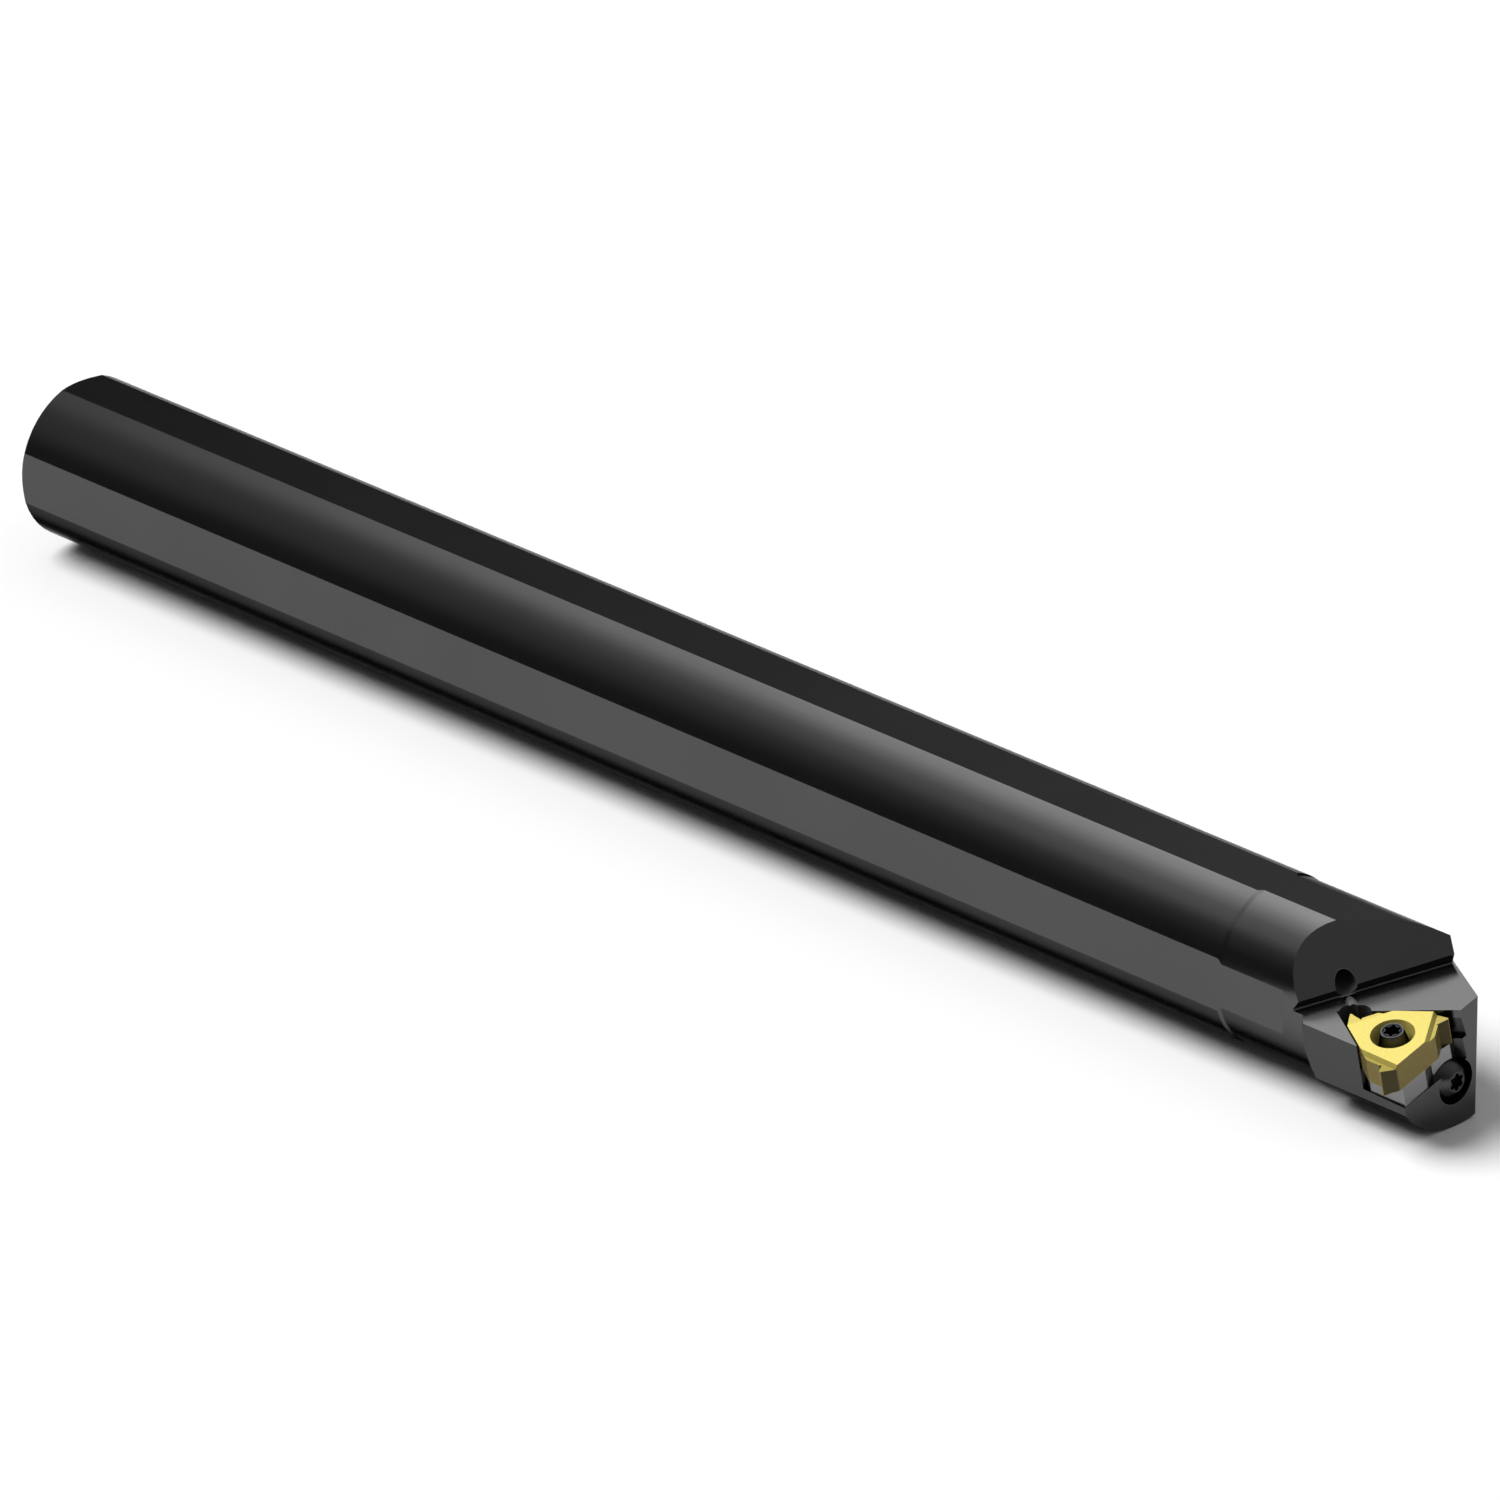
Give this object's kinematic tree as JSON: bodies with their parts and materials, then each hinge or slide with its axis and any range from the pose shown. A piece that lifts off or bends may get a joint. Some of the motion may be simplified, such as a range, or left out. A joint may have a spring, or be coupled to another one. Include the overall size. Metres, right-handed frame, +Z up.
{
  "type": "boring bar",
  "caption": "Round-shank internal threading boring bar with clamping flats, a lay-down threading insert screwed onto a shim, and a coolant outlet in the chip ramp.",
  "frame": {"origin": "centre of the bar's rear face, at the mouth of the coolant inlet", "axes": "+X along the bar from the rear face to the cutting end, +Z up out of the top clamping flat, +Y away from the cutting side"},
  "size_m": [0.3561, 0.0358, 0.0319],
  "materials": {
    "black_steel": "satin black oxide on ground steel",
    "shim_steel": "fine ground, bare",
    "screw_steel": "black oxide, semi-gloss",
    "coated_carbide": "gold coloured hard coating, satin"
  },
  "bodies": {
    "root": {"bar_body": "black_steel", "shim": "shim_steel", "shim_screw": "screw_steel", "insert": "coated_carbide", "insert_screw": "screw_steel"}
  },
  "joints": []
}
